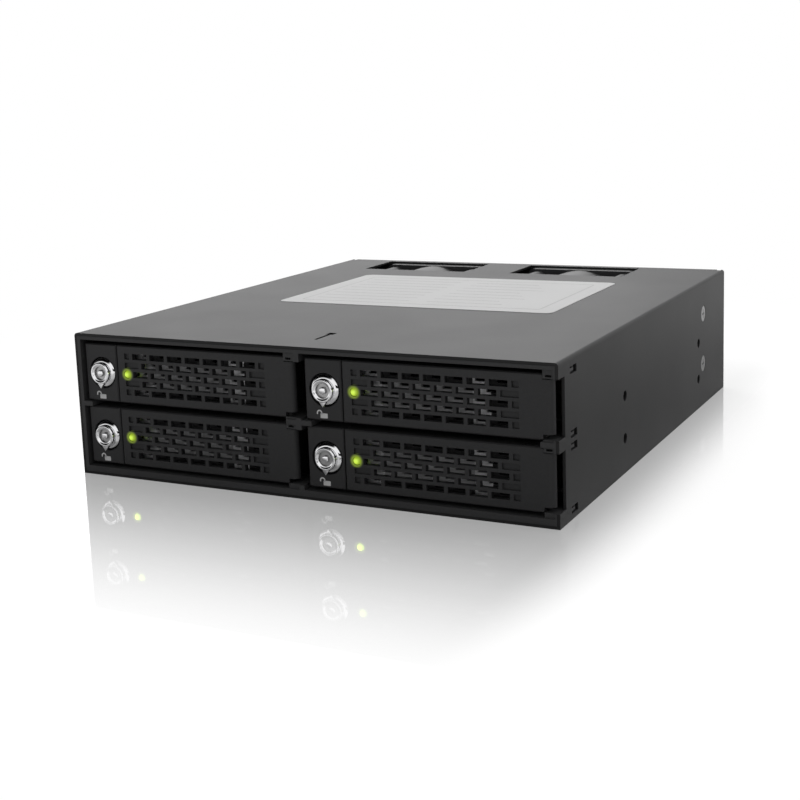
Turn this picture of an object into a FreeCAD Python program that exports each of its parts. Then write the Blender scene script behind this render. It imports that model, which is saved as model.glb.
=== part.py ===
# Hot swap drive cage for one half height 5.25 inch bay, with four trays for 2.5 inch drives.
# Millimetres. +Z is up, the front faces -Y and +X is to the right as seen from the front.
# The origin is the centre of the underside.
import FreeCAD, Part
import math
import os

Vector = FreeCAD.Vector

# Driving sizes: the drive, the tray's height and the sheet
drive_width = 69.85
drive_length = 100.4
face_height = 16.5
sheet = 0.8

# Tray places
face_inset = 0.75
column_gap = 3.5
row_gap = 1.8
column_shift = 0.55
row_shift = 0.25
divider_x = 0.4
face_recess = 1.0
running_gap = 0.3
face_width = drive_width - face_inset
column_pitch = face_width + column_gap
row_pitch = face_height + row_gap

# Housing, folded from sheet
frame_room = 4.7
housing_width = 2 * column_pitch + sheet
housing_height = 2 * row_pitch + frame_room
bend_radius = 0.9
side_setback = 4.4
relief_size = 1.6
row_middle_z = housing_height / 2 + row_shift
slit_start = 10.6
slit_length = 10.0
slit_half_width = 0.45
slit_head_length = 2.4
slit_head_half_width = 1.1
slit_depth = 3.0

# Front frame
frame_depth = 14.0
frame_recess = 6.5
lip_top = 1.0
lip_bottom = 1.7
lip_left = 1.1
lip_right = 0.6
bar_width = 1.6
bar_height = 1.4
boss_rise = 0.3
cross_half_width = 3.9
left_tab_length = 2.9
right_tab_length = 3.2
block_recess = 0.5
block_gap = 0.2
block_pocket_height = 0.55
block_pocket_depth = 1.6
block_pocket_start = 0.7
block_pocket_width = 1.6

# Tray front
lock_section = 10.9
seam = 0.25
bezel_depth = 14.0
bezel_wall = 0.9
bezel_top_gap = 0.4
edge_chamfer = 0.3
door_thickness = 1.6
door_end_radius = 1.5
door_return = 3.2
door_return_wall = 0.9
notch_width = 2.8
notch_height = 1.4
inner_plate_gap = 3.7
inner_plate_thickness = 1.0

# Hinge at the right end of the door
hinge_from_end = 4.8
hinge_from_face = door_thickness
hinge_pin_radius = 0.5
hinge_fit = 0.05
barrel_radius = 1.3
ear_radius = 0.9
ear_thickness = 1.0
ear_clearance = 0.15
ear_arm_width = 2.4
swing_clearance = 0.14
return_to_hinge = 3.5

# Slots in the door and openings in the plate behind it
mesh_left = 13.8
mesh_from_end = 8.95
mesh_right = face_width - mesh_from_end
slot_rows = 5
slots_across = 7.764
slot_row_pitch = face_height * 0.1564
slot_pitch = (mesh_right - mesh_left) / slots_across
slot_length = slot_pitch * 0.82
slot_height = face_height * 0.1
slot_first = mesh_left + slot_pitch * 0.46
blind_depth = 0.6
slot_stub = 0.5
inner_slot_length = slot_pitch * 0.54
inner_slot_height = face_height * 0.095
inner_slot_shift = slot_pitch * 0.12
inner_slot_clear = 1.5
lens_x = 14.55
lens_radius = 1.0
lens_gap = 0.2
lens_front = 0.5
lens_back = 7.4
pipe_half_width = 0.9
pipe_thickness = 0.9

# Key lock, which is also the release button
lock_x = 5.8
lock_body_radius = face_height * 0.2424
lock_flange_radius = face_height * 0.2576
lock_flange = 0.8
lock_proud = 0.4
lock_length = 10.0
lock_fit = 0.1
lock_travel = 2.0
flange_fit = 0.3
plug_radius = 2.5
plug_head_radius = 3.15
plug_head = 1.1
pointer_reach = lock_flange_radius
pointer_step = 0.3
key_ring_outer = 2.1
key_post_radius = 0.95
key_depth = 1.0
cam_thickness = 1.0
cam_width = 2.4
cam_drop = 2.0
cam_reach = 3.5
cam_pocket_start = 9.0
cam_pocket_wall = 1.0
cam_pocket_floor = 1.2

# Latch bolt in the lock block, and the catch of the door that it holds
latch_low = face_height * 0.788
latch_high = face_height * 0.897
latch_front = 5.1
latch_thickness = 2.3
latch_left = 3.9
latch_tip = lock_section + 0.2
latch_leg_width = 1.4
latch_leg_back = 11.0
catch_x = 12.2
catch_width = 1.0
catch_nose = 0.5
catch_nose_length = 0.7
catch_end = 8.4
catch_window_gap = 0.6
latch_fit = 0.1
latch_room = 1.4
bolt_travel = lock_travel * 0.6

# Sled under the drive
sled_edge = 0.225
sled_shift = -0.3
sled_height = 1.3
sled_back_gap = 4.5
runner_width = 3.0
runner_inset = 20.35
runner_spacing = drive_width - runner_inset
runner_drop = 0.2
runner_start = 2.0
guide_width = 4.0
sled_window_width = drive_width * 0.515
sled_window_length = drive_length * 0.1494
sled_window_pitch = drive_length * 0.239
sled_window_start = drive_length * 0.1793
tongue_start = 8.0
bezel_screw_shares = (0.3184, 0.8104)
bezel_screw_y = 11.0
bezel_screw_radius = 1.0
bezel_screw_head_radius = 1.9
bezel_screw_head = 0.5

# Fastening holes of the drive
drive_gap = 0.6
drive_hole_inset_x = 8.13
drive_hole_inset_y = 23.8
drive_hole_x = drive_width - drive_hole_inset_x
drive_hole_y = drive_length - drive_hole_inset_y
drive_hole_from_end = 14.0
screw_clearance_radius = 1.6

# Shelf between the rows
shelf_window_half = drive_width * 0.286
shelf_window_length = drive_length * 0.1195
shelf_window_shares = (0.1534, 0.5319, 0.7112)
shelf_corner_clear = 3.2
divider_flange = 6.0

# Backplane
board_thickness = 1.6
board_edge = 1.5
board_rim = 0.6
board_tab_shares = (-0.8587, -0.1939, 0.1939, 0.6233)
board_tab_half = 4.0
board_tab_height = 8.2
board_screw_z = 3.6
board_screw_radius = 1.25
board_screw_head_radius = 2.2
board_screw_head = 1.4
air_window_pitch = drive_width * 0.3436
air_window_half = drive_width * 0.1288
air_window_low = face_height * 0.618
air_window_high = face_height * 0.921

# Receptacle of the drive
socket_depth = 8.2
socket_width = 43.0
socket_height = 6.0
socket_lift = 2.7
socket_shift = -4.0
socket_slot_half = 16.8
socket_slot_depth = 5.5
socket_slot_low = 1.9
socket_slot_high = 4.1
socket_ear_x = 18.2
socket_ear_half = 1.0
socket_ear_depth = 5.0
socket_ear_low = 1.4
socket_ear_high = 4.6

# Ports on the rear of the board
port_depth = 9.0
port_wall = 1.2
port_floor = 1.5
port_from_side = 13.7
port_half_width = 8.0
port_half_height = 3.4
port_first_z = housing_height * 0.1743
port_pitch_z = housing_height * 0.2082
tongue_half_width = 5.2
tongue_low = 0.2
tongue_high = 1.0
key_width = 1.2
key_drop = 1.4
power_half_width = 3.2
power_half_spacing = 4.0
power_low = housing_height * 0.242
power_high = housing_height * 0.823
power_tongue_half = 0.6
power_tongue_inset = 2.0
fan_header_half = 3.8
fan_header_low = 4.0
fan_header_height = 5.8
fan_header_depth = 6.0
fan_header_floor = 2.6
fan_header_wall = 0.8

# Fans
fan_size = housing_height - 1.3
fan_depth = fan_size / 2
fan_bore_radius = fan_size / 2 - 1.0
fan_hole_spacing = fan_size * 0.8
fan_hole_radius = 1.5
fan_flange = fan_size * 0.09
fan_corner_radius = 2.5
fan_barrel_wall = 0.9
fan_post_radius = 3.3
fan_opening_gap = 0.4
motor_plate = 2.0
motor_plate_rim = 0.4
motor_tube_radius = 3.0
motor_tube_length = 9.0
strut_width = 2.0
strut_count = 4
hub_radius = fan_size * 0.24
hub_chamfer = 1.2
hub_wall = 1.2
hub_front_gap = 1.2
hub_back_gap = 0.6
shaft_radius = 1.5
shaft_end_gap = 0.4
blade_count = 7
blade_pitch = 42.0
blade_root_chord = fan_size * 0.21
blade_tip_chord = fan_size * 0.3
blade_tip_gap = 0.6
blade_thickness = 0.9

# Rear panel
panel_rim = 3.7
panel_sheet = 1.0
data_window_inset = 2.2
data_window_gap = 3.0
data_window_low = 3.6
data_window_high = housing_height - 3.9
power_window_half = 7.6
power_window_low = housing_height * 0.194
power_window_high = housing_height * 0.872
left_share = 0.2826
right_share = 0.4457
vent_count = 5
vent_pitch_share = 0.165
vent_width_share = 0.533
vent_first = 2.6
vent_low = 6.0
vent_high = housing_height - 6.3
grille_inner_radius = fan_size * 0.17
grille_slot = fan_size * 0.12
grille_web = fan_size * 0.035
cable_room = 7.2

# Fastening holes, as on any 5.25 inch drive
mount_hole_radius = 1.5
mount_front_y = 52.3
mount_spacing_y = 79.25
mount_low_z = 9.9
mount_spacing_z = 11.94
mount_inset_x = 6.3
mount_spacing_x = housing_width - mount_inset_x
mount_hole_room = 4.0
side_screw_from_rear = 28.4
side_screw_low_z = housing_height * 0.339
side_screw_high_z = housing_height * 0.741
side_screw_radius = 2.6
side_screw_sunk = 0.05
side_screw_length = 3.0
screw_shank_radius = 1.5
fan_screw_length = 6.0
fan_screw_head = 1.4
fan_screw_head_radius = 2.7

# Bottom pan
pan_flange_height = 2.1
pan_ear_half = 4.0
pan_ear_drop = 5.3
pan_ear_top = housing_height - pan_ear_drop

# Slots in the sides for the lugs of the front frame
lug_slot_y = 8.4
lug_slot_length = 4.6
lug_slot_height = 2.0
lug_length = 2.9
lug_half_height = 0.4
lug_sunk = 0.2
lug_middle_z = housing_height * 0.4867
lug_inner_offset = 1.6
lug_outer_offset = housing_height * 0.4286

# Worked out from the sizes above
side_x = housing_width / 2
inner_x = side_x - sheet
inner_top = housing_height - sheet
opening_left = -inner_x + lip_left
opening_right = inner_x - lip_right
opening_top = inner_top - lip_top
opening_bottom = sheet + lip_bottom
to_board = (face_recess + bezel_depth + drive_gap + drive_length + running_gap + socket_depth
            + board_thickness)
fan_front = to_board + port_depth + cable_room
housing_depth = fan_front + fan_depth + panel_rim
front_y = -housing_depth / 2
rear_y = housing_depth / 2
face_y = front_y + face_recess
bezel_back = face_y + bezel_depth
drive_front = bezel_back + drive_gap
sled_width = drive_width - 2 * sled_edge
drive_back = drive_front + drive_length
socket_front = drive_back + running_gap
board_front = socket_front + socket_depth
board_back = board_front + board_thickness
shelf_top = row_middle_z + sheet / 2
shelf_bottom = row_middle_z - sheet / 2
fan_y = front_y + fan_front
fan_middle_z = housing_height / 2
panel_front = fan_y + fan_depth
panel_back = panel_front + panel_sheet
plate_y = face_y + inner_plate_gap
plate_back = plate_y + inner_plate_thickness
hinge_y = face_y + hinge_from_face
frame_back = front_y + frame_depth
recess_y = front_y + frame_recess
mount_ys = (front_y + mount_front_y, front_y + mount_front_y + mount_spacing_y)
mount_zs = (mount_low_z, mount_low_z + mount_spacing_z)
side_screw_y = rear_y - side_screw_from_rear

# The width left over beside the two fans, shared out for the vents, power and data
fan_spare = 2 * inner_x - 2 * fan_size
fan_left_x = -inner_x + fan_spare * left_share + fan_size / 2
fan_right_x = inner_x - fan_spare * right_share - fan_size / 2
power_middle_x = (fan_left_x + fan_right_x) / 2
vent_pitch = fan_spare * left_share * vent_pitch_share
vent_width = vent_pitch * vent_width_share
data_window_left = fan_right_x + fan_size / 2 + data_window_gap

# The notch edge of the door swings past the block, which is hollowed by this radius
notch_to_hinge = hinge_from_end - notch_width
notch_sweep = math.sqrt(notch_to_hinge ** 2 + hinge_from_face ** 2) + swing_clearance
block_width = notch_width - block_gap


def box(x0, x1, y0, y1, z0, z1):
    return Part.makeBox(x1 - x0, y1 - y0, z1 - z0, Vector(x0, y0, z0))


def rod_x(x0, x1, y, z, radius):
    return Part.makeCylinder(radius, x1 - x0, Vector(x0, y, z), Vector(1, 0, 0))


def rod_y(y0, y1, x, z, radius):
    return Part.makeCylinder(radius, y1 - y0, Vector(x, y0, z), Vector(0, 1, 0))


def rod_z(z0, z1, x, y, radius):
    return Part.makeCylinder(radius, z1 - z0, Vector(x, y, z0), Vector(0, 0, 1))


def prism(points, direction):
    """Closed outline of points, extruded along a vector."""
    wire = Part.makePolygon(points + [points[0]])
    return Part.Face(wire).extrude(direction)


def join(solids):
    if len(solids) == 1:
        return solids[0]
    return solids[0].fuse(solids[1:]).removeSplitter()


def cut(solid, tools):
    return solid.cut(tools).removeSplitter()


def save(name, solids):
    """Writes one node, made of one or more separate solids."""
    shape = solids[0] if len(solids) == 1 else Part.makeCompound(solids)
    shape.exportStep(os.path.join("parts", name + ".step"))


class Bay:
    """Place of one tray: its face's left end, right end, bottom and top."""

    def __init__(self, name, column, row):
        middle_x = column_shift + column * column_pitch / 2
        middle_z = row_middle_z + row * row_pitch / 2
        self.name = name
        self.left = middle_x - face_width / 2
        self.right = middle_x + face_width / 2
        self.bottom = middle_z - face_height / 2
        self.top = middle_z + face_height / 2
        self.middle_z = middle_z
        self.hinge_x = self.right - hinge_from_end
        self.bezel_right = self.hinge_x - running_gap
        self.lock_x = self.left + lock_x
        self.sled_x = middle_x + sled_shift


bays = [
    Bay("upper_left", -1, 1),
    Bay("upper_right", 1, 1),
    Bay("lower_left", -1, -1),
    Bay("lower_right", 1, -1),
]


def lug_heights():
    offsets = (lug_outer_offset, lug_inner_offset, -lug_inner_offset, -lug_outer_offset)
    return [lug_middle_z + offset for offset in offsets]


def boss_heights():
    """Heights at which the frame's bosses reach the front plane, as (low, high)."""
    return [
        (0.0, bays[2].bottom + boss_rise),
        (bays[2].top - notch_height + running_gap, bays[0].bottom + boss_rise),
        (bays[0].top - notch_height + running_gap, housing_height),
    ]


def side_gaps():
    """The two stretches between bosses, where a door swings past the side."""
    low, middle, high = boss_heights()
    return [(low[1], middle[0]), (middle[1], high[0])]


def fan_windows(z0, z1):
    half = fan_size / 2 + fan_opening_gap
    return [
        box(x - half, x + half, fan_y - fan_opening_gap, panel_front + fan_opening_gap, z0, z1)
        for x in (fan_left_x, fan_right_x)
    ]


def make_top_cover():
    """U of folded sheet: the top and both sides."""
    outer = box(-side_x, side_x, front_y, rear_y, 0, housing_height)
    top_edges = [
        edge for edge in outer.Edges
        if abs(edge.CenterOfMass.z - housing_height) < 0.01 and abs(abs(edge.CenterOfMass.x) - side_x) < 0.01
    ]
    outer = outer.makeFillet(bend_radius, top_edges)
    inner = box(-inner_x, inner_x, front_y - 1, rear_y + 1, -1, inner_top)
    cover = outer.cut(inner)
    tools = fan_windows(inner_top - 1, housing_height + 1)
    for low, high in side_gaps():
        tools.append(box(inner_x - 1, side_x + 1, front_y - 1, front_y + side_setback, low, high))
    for end in (-1, 1):
        for y in mount_ys:
            for z in mount_zs:
                tools.append(rod_x(end * side_x - 2, end * side_x + 2, y, z, mount_hole_radius))
        for z in (side_screw_low_z, side_screw_high_z):
            tools.append(rod_x(end * side_x - 2, end * side_x + 2, side_screw_y, z, side_screw_radius))
        slot_y = front_y + lug_slot_y
        for z in lug_heights():
            tools.append(box(
                end * side_x - 2, end * side_x + 2, slot_y, slot_y + lug_slot_length,
                z - lug_slot_height / 2, z + lug_slot_height / 2))
        corner_x = end * (side_x - bend_radius)
        tools.append(box(
            min(corner_x, corner_x - end * relief_size), max(corner_x, corner_x - end * relief_size),
            rear_y - relief_size, rear_y + 1, inner_top - 1, housing_height + 1))
    tools += divider_slit()
    return cut(cover, tools)


def divider_slit():
    """Slit in the top over the divider, with a wider end; it goes on into the pieces below."""
    slit_front = front_y + slit_start
    slit_back = slit_front + slit_length
    z0, z1 = inner_top - slit_depth, housing_height + 1
    return [
        box(divider_x - slit_half_width, divider_x + slit_half_width, slit_front, slit_back, z0, z1),
        box(divider_x - slit_head_half_width, divider_x + slit_head_half_width,
            slit_back - slit_head_length, slit_back, z0, z1),
    ]


def make_bottom_pan():
    """Floor with low side flanges, a tall ear at each side and tabs for the board."""
    pieces = [box(-inner_x, inner_x, front_y, rear_y, 0, sheet)]
    stretches = [
        (frame_back, mount_ys[0] - mount_hole_room),
        (mount_ys[0] + mount_hole_room, mount_ys[1] - mount_hole_room),
    ]
    tools = fan_windows(-1, sheet + 1)
    for end in (-1, 1):
        outer_x = end * inner_x
        flange_x = end * (inner_x - sheet)
        x0, x1 = min(outer_x, flange_x), max(outer_x, flange_x)
        for y0, y1 in stretches:
            pieces.append(box(x0, x1, y0, y1, sheet, sheet + pan_flange_height))
        pieces.append(box(x0, x1, side_screw_y - pan_ear_half, side_screw_y + pan_ear_half,
                          sheet, pan_ear_top))
        for z in (side_screw_low_z, side_screw_high_z):
            tools.append(rod_x(x0 - 1, x1 + 1, side_screw_y, z, screw_shank_radius))
        for y in mount_ys:
            tools.append(rod_z(-1, sheet + 1, end * mount_spacing_x / 2, y, mount_hole_radius))
    for x in board_tab_xs():
        pieces.append(box(x - board_tab_half, x + board_tab_half, board_back, board_back + sheet,
                          sheet, sheet + board_tab_height))
        tools.append(rod_y(board_back - 1, board_back + 2, x, board_screw_z, board_screw_radius))
    return cut(join(pieces), tools)


def board_tab_xs():
    return [share * inner_x for share in board_tab_shares]


def make_front_frame():
    """Ring inside the sheets, with a recessed cross and bosses that reach the front plane."""
    outer = box(-inner_x, inner_x, front_y, frame_back, sheet, inner_top)
    hole = box(opening_left, opening_right, front_y - 1, frame_back + 1, opening_bottom, opening_top)
    frame = outer.cut(hole)
    bar_z0, bar_z1 = row_middle_z - bar_height / 2, row_middle_z + bar_height / 2
    bars = [
        box(divider_x - bar_width / 2, divider_x + bar_width / 2, recess_y, frame_back,
            opening_bottom, opening_top),
        box(opening_left, opening_right, recess_y, frame_back, bar_z0, bar_z1),
    ]
    swing = [
        box(opening_right - 1, side_x, front_y - 1, recess_y, low, high) for low, high in side_gaps()
    ]
    frame = join([frame] + bars).cut(swing)
    lugs = []
    for end in (-1, 1):
        lug_y = front_y + lug_slot_y
        root = end * (inner_x - lip_right / 2)
        tip = end * (side_x - lug_sunk)
        for z in lug_heights():
            lugs.append(box(min(root, tip), max(root, tip), lug_y, lug_y + lug_length,
                            z - lug_half_height, z + lug_half_height))
    frame = join([frame] + front_bosses(bar_z0, bar_z1) + lugs)
    return cut(frame, block_pockets() + divider_slit())


def front_bosses(bar_z0, bar_z1):
    """Stubs of the cross and blocks for the door notches, in front of the recessed bars."""
    bosses = [
        box(divider_x - cross_half_width, divider_x + cross_half_width, front_y, recess_y, bar_z0, bar_z1),
        box(opening_left, opening_left + left_tab_length, front_y, recess_y, bar_z0, bar_z1),
        box(bays[1].right - right_tab_length, inner_x, front_y, recess_y, bar_z0, bar_z1),
    ]
    for low, high in boss_heights():
        z0, z1 = max(low, opening_bottom), min(high, opening_top)
        middle = box(divider_x - bar_width / 2, divider_x + bar_width / 2, front_y, recess_y, z0, z1)
        bosses.append(middle)
        for bay, end in ((bays[0], divider_x), (bays[1], inner_x)):
            block = box(bay.right - block_width, end, front_y + block_recess, recess_y, z0, z1)
            swing = rod_z(z0 - 1, z1 + 1, bay.hinge_x, hinge_y, notch_sweep)
            bosses.append(block.cut(swing))
    return bosses


def block_pockets():
    """Dark slots across the blocks, one beside each door's upper corner."""
    pockets = []
    for bay in bays:
        x0 = bay.right - block_width + block_pocket_start
        z0 = bay.top - notch_height / 2
        pockets.append(box(x0, x0 + block_pocket_width, front_y - 1,
                           front_y + block_recess + block_pocket_depth, z0, z0 + block_pocket_height))
    return pockets


def make_centre_divider():
    """Upright sheet between the columns, with a flange on the floor and one under the top."""
    x0 = divider_x - sheet / 2
    x1 = divider_x + sheet / 2
    web = box(x0, x1, frame_back, board_front, sheet, inner_top)
    foot = box(x0, x0 + divider_flange, frame_back, board_front, sheet, 2 * sheet)
    head = box(x0, x0 + divider_flange, frame_back, board_front, inner_top - sheet, inner_top)
    return cut(join([web, foot, head]), divider_slit())


def make_shelf(column):
    """Flat sheet between two trays, cut away round the fastening holes in the side."""
    x0 = -inner_x if column < 0 else divider_x + sheet / 2
    x1 = divider_x - sheet / 2 if column < 0 else inner_x
    edge = column * inner_x
    middle = (x0 + x1) / 2
    z0, z1 = shelf_bottom - 1, shelf_top + 1
    clear = shelf_corner_clear
    tools = [box(edge - clear, edge + clear, mount_ys[0] - clear, mount_ys[0] + clear, z0, z1)]
    for share in shelf_window_shares:
        y = drive_front + share * drive_length
        tools.append(box(middle - shelf_window_half, middle + shelf_window_half,
                         y, y + shelf_window_length, z0, z1))
    return cut(box(x0, x1, frame_back, socket_front, shelf_bottom, shelf_top), tools)


def make_tray_guides():
    """Strips on the floor that carry the runners of the lower trays."""
    top = bays[2].bottom - runner_drop - running_gap
    guides = []
    for bay in (bays[2], bays[3]):
        for side in (-1, 1):
            x = bay.sled_x + side * runner_spacing / 2
            guides.append(box(x - guide_width / 2, x + guide_width / 2, frame_back, drive_back, sheet, top))
    return guides


def make_board():
    """Backplane with windows for the air and holes for its screws."""
    board = box(-inner_x + board_edge, inner_x - board_edge, board_front, board_back,
                sheet + board_rim, inner_top - board_rim)
    tools = []
    for bay in bays:
        for step in (-1, 0, 1):
            x = bay.sled_x + step * air_window_pitch
            tools.append(box(x - air_window_half, x + air_window_half, board_front - 1, board_back + 1,
                             bay.bottom + air_window_low, bay.bottom + air_window_high))
    for x in board_tab_xs():
        tools.append(rod_y(board_front - 1, board_back + 1, x, board_screw_z, board_screw_radius))
    return cut(board, tools)


def make_drive_sockets():
    """Receptacles for the drives, each with the slot that takes the drive's tongue."""
    sockets = []
    for bay in bays:
        x = bay.sled_x + socket_shift
        z0 = bay.bottom + socket_lift
        body = box(x - socket_width / 2, x + socket_width / 2, socket_front, board_front,
                   z0, z0 + socket_height)
        slot = box(x - socket_slot_half, x + socket_slot_half, socket_front - 1,
                   socket_front + socket_slot_depth, z0 + socket_slot_low, z0 + socket_slot_high)
        ears = [
            box(ear_x - socket_ear_half, ear_x + socket_ear_half, socket_front - 1,
                socket_front + socket_ear_depth, z0 + socket_ear_low, z0 + socket_ear_high)
            for ear_x in (x - socket_ear_x, x + socket_ear_x)
        ]
        sockets.append(cut(body, [slot] + ears))
    return sockets


def header(x0, x1, z0, z1, tongue):
    """Plug-in header on the rear of the board: a shroud with a tongue in it."""
    shell = box(x0, x1, board_back, board_back + port_depth, z0, z1)
    hollow = box(x0 + port_wall, x1 - port_wall, board_back + port_floor, board_back + port_depth + 1,
                 z0 + port_wall, z1 - port_wall)
    return join([shell.cut(hollow), tongue])


def make_sata_ports():
    ports = []
    middle = inner_x - port_from_side
    y0, y1 = board_back + 1, board_back + port_depth - port_floor
    for index in range(len(bays)):
        z = port_first_z + port_pitch_z * index
        tongue = box(middle - tongue_half_width, middle + tongue_half_width, y0, y1,
                     z - tongue_low, z + tongue_high)
        key = box(middle + tongue_half_width - key_width, middle + tongue_half_width, y0, y1,
                  z - key_drop, z + tongue_high)
        ports.append(header(middle - port_half_width, middle + port_half_width,
                            z - port_half_height, z + port_half_height, tongue.fuse(key)))
    return ports


def make_power_ports():
    ports = []
    y0, y1 = board_back + 1, board_back + port_depth - port_floor
    for x in (power_middle_x - power_half_spacing, power_middle_x + power_half_spacing):
        tongue = box(x - power_tongue_half, x + power_tongue_half, y0, y1,
                     power_low + power_tongue_inset, power_high - power_tongue_inset)
        ports.append(header(x - power_half_width, x + power_half_width, power_low, power_high, tongue))
    return ports


def make_fan_headers():
    headers = []
    z0, z1 = fan_header_low, fan_header_low + fan_header_height
    inner_half = fan_header_half - fan_header_wall
    for x in (fan_left_x, fan_right_x):
        body = box(x - fan_header_half, x + fan_header_half,
                   board_back, board_back + fan_header_depth, z0, z1)
        hollow = box(x - inner_half, x + inner_half, board_back + fan_header_floor,
                     board_back + fan_header_depth + 1, z0 + fan_header_wall, z1 - fan_header_wall)
        headers.append(body.cut(hollow))
    return headers


def make_board_screws():
    screws = []
    for x in board_tab_xs():
        head = rod_y(board_front - board_screw_head, board_front, x, board_screw_z, board_screw_head_radius)
        shank = rod_y(board_front, board_back + 2 * sheet, x, board_screw_z, board_screw_radius)
        screws.append(join([head, shank]))
    return screws


def fan_corners(x):
    """The four fastening places of a fan, as (x, z)."""
    half = fan_hole_spacing / 2
    return [(x + i * half, fan_middle_z + j * half) for i in (-1, 1) for j in (-1, 1)]


def make_fan_frame(x):
    """Square fan housing: two flanges, a round barrel, and a motor plate on struts."""
    half = fan_size / 2
    z = fan_middle_z
    barrel_y0, barrel_y1 = fan_y + fan_flange, panel_front - fan_flange
    block = box(x - half, x + half, fan_y, panel_front, z - half, z + half)
    corners = [edge for edge in block.Edges if abs(edge.Vertexes[0].Y - edge.Vertexes[-1].Y) > 1]
    block = block.makeFillet(fan_corner_radius, corners)
    waist = box(x - half - 1, x + half + 1, barrel_y0, barrel_y1, z - half - 1, z + half + 1)
    barrel = rod_y(barrel_y0, barrel_y1, x, z, fan_bore_radius + fan_barrel_wall)
    posts = [rod_y(barrel_y0, barrel_y1, px, pz, fan_post_radius) for px, pz in fan_corners(x)]
    body = join([block.cut(waist), barrel] + posts)
    tools = [rod_y(fan_y - 1, panel_front + 1, x, z, fan_bore_radius)]
    for px, pz in fan_corners(x):
        tools.append(rod_y(fan_y - 1, panel_front + 1, px, pz, fan_hole_radius))
    body = body.cut(tools)
    plate_front = panel_front - motor_plate
    plate = rod_y(plate_front, panel_front, x, z, hub_radius + motor_plate_rim)
    struts = []
    for index in range(strut_count):
        strut = box(x + hub_radius - 1, x + fan_bore_radius + fan_barrel_wall / 2, plate_front, panel_front,
                    z - strut_width / 2, z + strut_width / 2)
        strut.rotate(Vector(x, 0, z), Vector(0, 1, 0), (index + 0.5) * 360 / strut_count)
        struts.append(strut)
    tube = rod_y(plate_front - motor_tube_length, plate_front, x, z, motor_tube_radius)
    bearing = rod_y(plate_front - motor_tube_length - 1, panel_front - hub_back_gap, x, z,
                    shaft_radius + hinge_fit)
    return join([body, plate, tube] + struts).cut(bearing)


def make_fan_rotor(x):
    """Hub cup on a shaft, with slanted blades."""
    z = fan_middle_z
    plate_front = panel_front - motor_plate
    hub_front = fan_y + hub_front_gap
    hub_back = plate_front - hub_back_gap
    cup = rod_y(hub_front, hub_back, x, z, hub_radius)
    rim = [edge for edge in cup.Edges if abs(edge.CenterOfMass.y - hub_front) < 0.01]
    cup = cup.makeChamfer(hub_chamfer, rim[:1])
    hollow = rod_y(hub_front + hub_wall, hub_back + 1, x, z, hub_radius - hub_wall)
    shaft = rod_y(hub_front + hub_wall / 2, plate_front - shaft_end_gap, x, z, shaft_radius)
    blades = [make_blade(x, z, 360.0 * index / blade_count, hub_front, hub_back)
              for index in range(blade_count)]
    return join([cup.cut(hollow), shaft] + blades)


def make_blade(x, z, turn, hub_front, hub_back):
    """One blade: a slanted plate that widens from the hub to the tip."""
    tip_radius = fan_bore_radius - blade_tip_gap
    root_radius = hub_radius - hub_wall / 2
    slant = math.radians(blade_pitch)
    along = Vector(0, math.sin(slant), math.cos(slant))
    across = Vector(0, along.z, -along.y)
    centre = Vector(x, (hub_front + hub_back) / 2, z) - across * (blade_thickness / 2)
    outline = [
        centre + Vector(root_radius, 0, 0) - along * (blade_root_chord / 2),
        centre + Vector(tip_radius, 0, 0) - along * (blade_tip_chord / 2),
        centre + Vector(tip_radius, 0, 0) + along * (blade_tip_chord / 2),
        centre + Vector(root_radius, 0, 0) + along * (blade_root_chord / 2),
    ]
    blade = prism(outline, across * blade_thickness)
    blade = blade.common(rod_y(hub_front, hub_back, x, z, tip_radius))
    blade.rotate(Vector(x, 0, z), Vector(0, 1, 0), turn)
    return blade


def make_rear_panel():
    """Rear sheet with a folded rim, two fan grilles and openings for the cables."""
    outer = box(-inner_x, inner_x, panel_front, rear_y, sheet, inner_top)
    hollow = box(-inner_x + sheet, inner_x - sheet, panel_back, rear_y + 1, 2 * sheet, inner_top - sheet)
    y0, y1 = panel_front - 1, panel_back + 1
    tools = [
        box(data_window_left, inner_x - data_window_inset, y0, y1, data_window_low, data_window_high),
        box(power_middle_x - power_window_half, power_middle_x + power_window_half, y0, y1,
            power_window_low, power_window_high),
    ]
    for index in range(vent_count):
        left = -inner_x + vent_first + vent_pitch * index
        tools.append(box(left, left + vent_width, y0, y1, vent_low, vent_high))
    for x in (fan_left_x, fan_right_x):
        tools += grille(x, y0, y1)
        tools += [rod_y(y0, y1, px, pz, fan_hole_radius) for px, pz in fan_corners(x)]
    return cut(outer.cut(hollow), tools)


def grille(x, y0, y1):
    """Rings of air slots with four bridges between them."""
    arcs = []
    radius = grille_inner_radius
    bridges = []
    for angle in (45, 135):
        bridge = box(x - fan_size, x + fan_size, y0 - 1, y1 + 1,
                     fan_middle_z - grille_web / 2, fan_middle_z + grille_web / 2)
        bridge.rotate(Vector(x, 0, fan_middle_z), Vector(0, 1, 0), angle)
        bridges.append(bridge)
    while radius + grille_slot <= fan_bore_radius:
        outer = rod_y(y0, y1, x, fan_middle_z, radius + grille_slot)
        inner = rod_y(y0 - 1, y1 + 1, x, fan_middle_z, radius)
        arcs += outer.cut([inner] + bridges).Solids
        radius += grille_slot + grille_web
    return arcs


def make_fan_screws():
    screws = []
    for x in (fan_left_x, fan_right_x):
        for px, pz in fan_corners(x):
            shank = rod_y(panel_front - fan_screw_length, panel_back, px, pz, fan_hole_radius)
            head = rod_y(panel_back, panel_back + fan_screw_head, px, pz, fan_screw_head_radius)
            screws.append(join([shank, head]))
    return screws


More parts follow.
